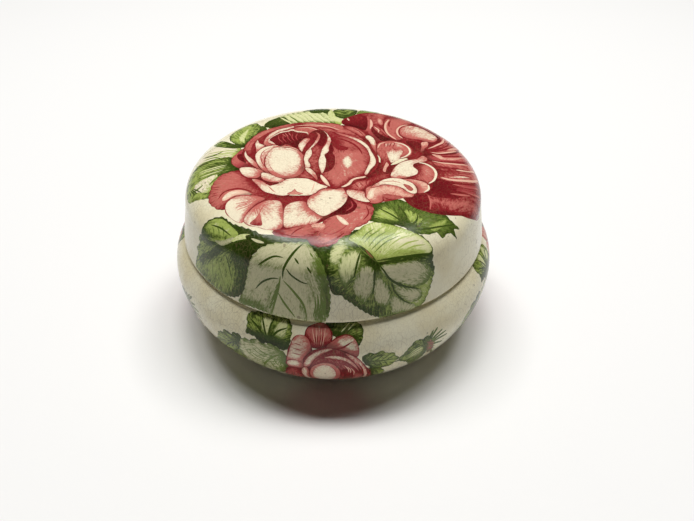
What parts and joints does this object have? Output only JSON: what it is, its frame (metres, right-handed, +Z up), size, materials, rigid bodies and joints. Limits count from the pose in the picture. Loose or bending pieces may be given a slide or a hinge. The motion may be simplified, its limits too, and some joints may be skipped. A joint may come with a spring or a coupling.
{
  "type": "powder jar",
  "caption": "Squat round glazed earthenware powder jar: a bulging bowl on a foot ring, with an upstanding collar, and a deep loose lid that lifts straight off, both painted with cabbage roses.",
  "frame": {"origin": "centre of the foot ring's underside, with the lid in place", "axes": "+Z up along the jar's axis, the way the lid lifts; -Y towards the painted front"},
  "size_m": [0.1148, 0.1148, 0.0611],
  "materials": {
    "bowl_glaze": "crazed clear glaze over cream body",
    "lid_glaze": "crazed clear glaze over cream body"
  },
  "bodies": {
    "bowl": {"bowl": "bowl_glaze"},
    "lid": {"lid": "lid_glaze"}
  },
  "joints": [
    {"name": "lid_lift", "type": "slide", "parent": "bowl", "child": "lid", "axis": [0, 0, 1], "range_m": [0, 0.08]}
  ]
}
